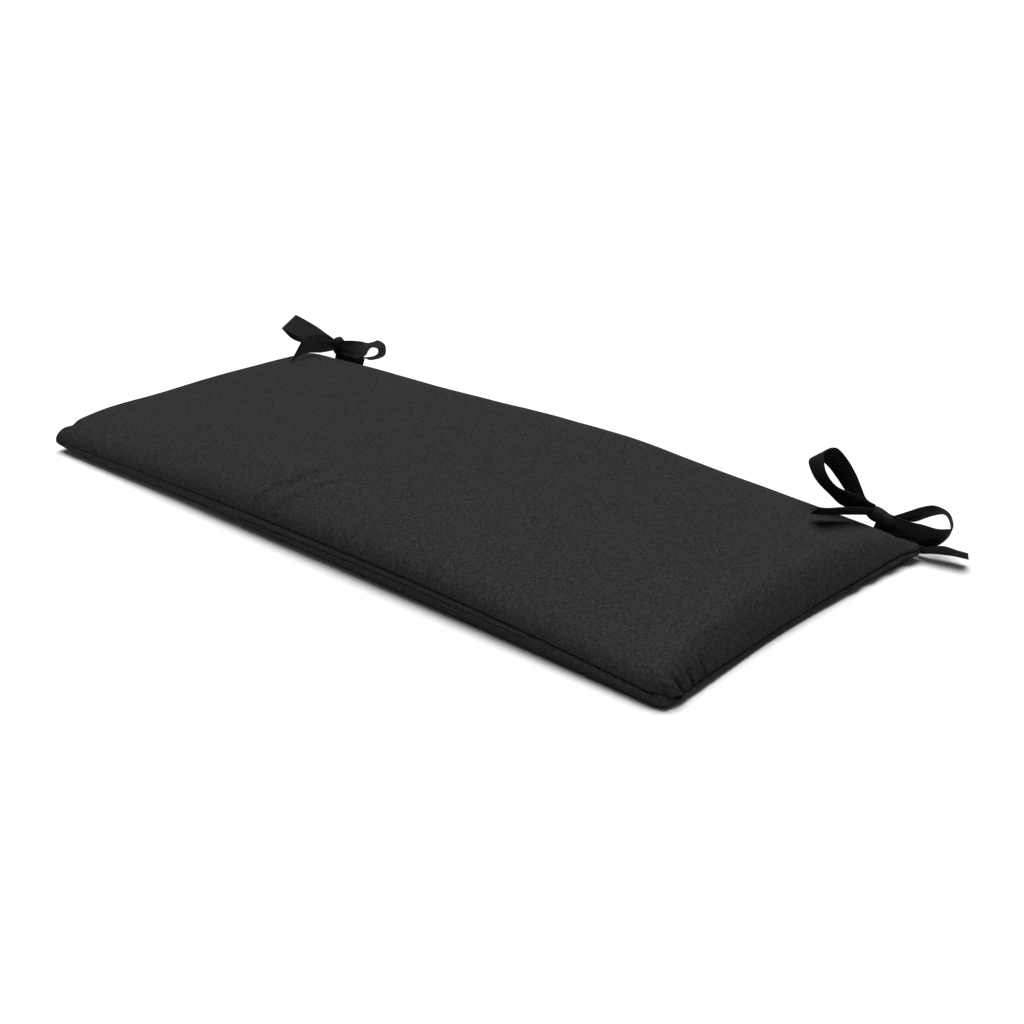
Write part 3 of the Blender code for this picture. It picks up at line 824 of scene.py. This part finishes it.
BOW_LEFT = {
    "loop_high": [
        ((-8, -6, 3), (0.35, 0.05, 0.92), 19),
        ((-31, -13, 8), (0.55, 0.48, 0.66), 29),
        ((-60, -15, 16), (0.43, 0.73, 0.51), 32),
        ((-91, -18, 23), (0.33, 0.68, 0.66), 32),
        ((-106, -15, 23), (0.45, 0.60, 0.66), 32),
        ((-108, -7, 14), (0.45, 0.60, 0.65), 32),
        ((-90, -3, 3), (0.40, 0.68, 0.55), 32),
        ((-52, 1, -1), (0.40, 0.65, 0.60), 28),
        ((-10, 2, -2), (0.10, 0.30, 0.90), 15),
    ],
    "loop_low": [
        ((8, -4, 1), (0.00, 0.10, 1.00), 20),
        ((26, 0, 1), (-0.20, 0.30, 0.93), 26),
        ((41, 7, 1), (-0.40, 0.55, 0.73), 29),
        ((53, 12, 3), (-0.58, 0.72, 0.38), 31),
        ((61, 14, 9), (-0.51, 0.84, 0.16), 32),
        ((69, 16, 14), (-0.46, 0.89, 0.06), 32),
        ((80, 18, 12), (-0.41, 0.90, -0.10), 32),
        ((84, 17, 5), (-0.40, 0.87, -0.26), 32),
        ((81, 16, -2), (-0.40, 0.85, -0.35), 32),
        ((70, 12, -8), (-0.42, 0.83, -0.38), 32),
        ((52, 9, -12), (-0.40, 0.80, -0.40), 28),
        ((30, 6, -10), (-0.30, 0.80, 0.20), 20),
        ((9, 3, -4), (0.00, 0.30, 0.90), 13),
    ],
    "tail_over": [
        ((-5, -7, 3), (-0.35, 0.40, 0.84), 20),
        ((-3, -35, 11), (-0.35, 0.33, 0.87), 29),
        ((1, -60, 17), (-0.45, 0.46, 0.77), 30),
        ((8, -82, 18), (-0.46, 0.68, 0.56), 32),
        ((14, -102, 16), (-0.22, 0.77, 0.59), 44),
    ],
    "tail_behind": [
        ((6, 2, -10), (0.15, 0.55, 0.80), 19),
        ((20, 10, -27), (0.15, 0.50, 0.80), 26),
        ((36, 17, -32), (0.15, 0.25, 0.96), 28),
    ],
    "stem": [
        ((0, -1, -39), (1.00, 0.00, 0.00), 28),
        ((0, -1, -31), (1.00, 0.00, 0.00), 26),
        ((0, 0, -19), (1.00, 0.00, 0.00), 20),
        ((0, 0, -4), (1.00, 0.00, 0.00), 14),
    ],
}


def smooth_run(values):
    """A smooth run through rows of values, with RINGS_PER_SPAN steps between two of them."""
    values = np.array(values, dtype=float)
    ends = np.concatenate([[2 * values[0] - values[1]], values, [2 * values[-1] - values[-2]]])
    t = np.linspace(0.0, 1.0, RINGS_PER_SPAN, endpoint=False)[:, None]
    run = [0.5 * (2 * b + (c - a) * t + (2 * a - 5 * b + 4 * c - d) * t ** 2 + (3 * b - a - 3 * c + d) * t ** 3)
           for a, b, c, d in zip(ends[:-3], ends[1:-2], ends[2:-1], ends[3:])]
    return np.concatenate(run + [values[-1:]])


def ribbon_length(name, stations, knot, phase):
    """One length of ribbon: a grid laid along its stations, pleated where the knot gathers it. Returns it
    with its length."""
    centre = smooth_run([np.array(knot) + np.array(at) / 1000 for at, across, width in stations])
    span = smooth_run([np.array(across) / np.linalg.norm(across) * width / 1000
                       for at, across, width in stations])
    along = np.gradient(centre, axis=0)
    facing = np.cross(along, span)
    facing = facing / np.linalg.norm(facing, axis=1, keepdims=True)
    width = np.linalg.norm(span, axis=1)
    gathered = np.clip(1.0 - width / RIBBON_WIDTH, 0.0, 1.0)
    w = np.linspace(-0.5, 0.5, CELLS_ACROSS_RIBBON + 1)
    pleat = (np.sin(2.0 * math.pi * PLEATS * w + phase)
             + 0.4 * np.sin(2.0 * math.pi * (PLEATS + 1.5) * w + 2.1 * phase))
    depth = PLEAT_DEPTH * gathered ** 0.8
    fade = np.cos(math.pi * w) ** 0.5 * 0.7 + 0.3
    offset = depth[:, None] * (pleat * fade)[None, :]
    points = centre[:, None, :] + span[:, None, :] * w[None, :, None] + facing[:, None, :] * offset[..., None]
    run = np.concatenate([[0.0], np.cumsum(np.linalg.norm(np.diff(centre, axis=0), axis=1))])
    flat_places = np.stack(np.meshgrid(run, w * RIBBON_WIDTH, indexing="ij"), axis=-1)
    strip = cloth_grid(name, points, flat_places)[0]
    body = strip.modifiers.new("ribbon", "SOLIDIFY")
    body.thickness = RIBBON_THICKNESS
    body.offset = 0.0
    bpy.ops.object.modifier_apply(modifier=body.name)
    return strip, float(run[-1])


def knot_wrap(name, middle, size, turns, folds, tilt):
    """The knot: ribbon wrapped tightly round the gathered middle, with folds along the wrap. The turns are
    in degrees, first about Y and then about Z."""
    bpy.ops.object.select_all(action="DESELECT")
    bpy.ops.mesh.primitive_uv_sphere_add(segments=64, ring_count=36, radius=1.0, calc_uvs=True)
    knot = bpy.context.object
    knot.name = name
    mesh = knot.data
    mesh.uv_layers[0].name = "cloth"
    uv = np.empty(len(mesh.loops) * 2)
    mesh.uv_layers[0].data.foreach_get("uv", uv)
    mesh.uv_layers[0].data.foreach_set("uv", (uv.reshape(-1, 2) * KNOT_CLOTH).ravel())
    ball = vertex_places(mesh)
    # fuller than a ball: the wrap is a short drum with rounded edges
    full = np.sign(ball) * np.abs(ball) ** 0.82
    power = 2.6
    full = full / np.maximum((np.abs(full) ** power).sum(axis=1, keepdims=True), 1e-9) ** (1.0 / power)
    wander = 0.6 * np.sin(2.3 * full[:, 2] + full[:, 1])
    fold = np.sin(folds * full[:, 0] * math.pi + tilt * full[:, 2] + wander)
    full = full * (1.0 + KNOT_FOLD_DEPTH * fold * (1.0 - full[:, 0] ** 2))[:, None] * (np.array(size) / 2)
    about_y, about_z = (math.radians(turn) for turn in turns)
    turned = np.array((Matrix.Rotation(about_z, 4, "Z") @ Matrix.Rotation(about_y, 4, "Y")).to_3x3())
    placed = full @ turned.T + np.array(middle)
    mesh.vertices.foreach_set("co", placed.ravel())
    return knot


# Black, woven closely, with a low sheen and no flecks
ribbon_cloth = woven_cloth(
    "black_ribbon", grey=0.0165, roughness=0.7, specular=0.015, grain_height=0.00012,
    weave_values={"Yarn Spacing": 0.0007, "Stretch Length": 0.005, "Yarn Contrast": 0.9,
                  "Crossing Contrast": 0.25, "Groove Contrast": 0.25, "Cloud Contrast": 0.15,
                  "Fleck Contrast": 0.0})


def ribbon_tie(name, knot, bow, wrap):
    """All lengths of one ribbon with its knot, joined into one piece. Returns it with the ribbon's length."""
    pieces = [knot_wrap(name + "_knot", knot + Vector(wrap["middle"]), wrap["size"], wrap["turns"],
                        wrap["folds"], wrap["tilt"])]
    total = wrap["length"]
    for number, (part, stations) in enumerate(bow.items()):
        strip, length = ribbon_length(name + "_" + part, stations, knot, 0.7 + 1.3 * number)
        pieces.append(strip)
        total += length
    bpy.ops.object.select_all(action="DESELECT")
    for piece in pieces:
        piece.select_set(True)
    bpy.context.view_layer.objects.active = pieces[0]
    bpy.ops.object.join()
    tie = bpy.context.object
    tie.name = name
    bpy.ops.object.shade_smooth_by_angle(angle=CREASED_FROM)
    tie.data.materials.clear()
    tie.data.materials.append(ribbon_cloth)
    return tie, total


# The right tie: one loop stands up over the cushion, one reaches past the corner, and its second tail
# droops past the corner to the floor.
tie_right, length_right = ribbon_tie("ribbon_right", KNOT_RIGHT, BOW_RIGHT, {
    "size": (0.044, 0.018, 0.018), "turns": (28, 30), "middle": (-0.002, -0.005, -0.005),
    "folds": 2.0, "tilt": 2.5, "length": 0.07})
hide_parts("tie_right")
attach(tie_right, "root")

# The left tie: one loop points away to the left, one lies along the back edge, and a tail lies forward
# over the cushion.
tie_left, length_left = ribbon_tie("ribbon_left", KNOT_LEFT, BOW_LEFT, {
    "size": (0.019, 0.018, 0.030), "turns": (0, 0), "middle": (0.0, 0.0, 0.0),
    "folds": 2.5, "tilt": 0.8, "length": 0.08})
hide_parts("tie_left")
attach(tie_left, "root")
